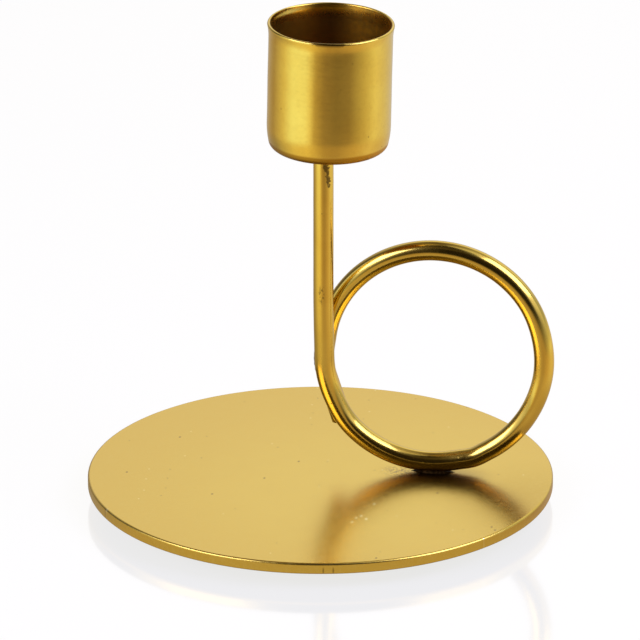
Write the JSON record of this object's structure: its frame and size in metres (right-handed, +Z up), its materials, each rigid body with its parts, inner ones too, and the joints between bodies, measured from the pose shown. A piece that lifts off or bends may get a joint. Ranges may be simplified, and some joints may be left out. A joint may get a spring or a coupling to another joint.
{
  "type": "candle holder",
  "caption": "Small satin-gold candle holder with a round plate, a bent-rod stem that turns into a finger ring, and a drawn cup for a dinner candle.",
  "frame": {"origin": "on the table, under the centre of the round plate", "axes": "+Z up, along the stem; +X from the stem towards the finger ring; +Y away from the viewer, to the side where the rod's tail passes behind the stem"},
  "size_m": [0.092, 0.092, 0.099],
  "materials": {
    "plate_gold": "satin gold plating with fine specks",
    "rod_gold": "semi-bright gold plating",
    "cup_gold": "semi-bright gold plating",
    "weld_metal": "plated weld metal, dull",
    "pad_rubber": "matt foam rubber"
  },
  "bodies": {
    "root": {"base_plate": "plate_gold", "loop_rod": "rod_gold", "candle_cup": "cup_gold", "cup_weld": "weld_metal", "base_weld_front": "weld_metal", "base_weld_rear": "weld_metal", "tail_weld": "weld_metal", "foot_pad_1": "pad_rubber", "foot_pad_2": "pad_rubber", "foot_pad_3": "pad_rubber", "foot_pad_4": "pad_rubber"}
  },
  "joints": []
}
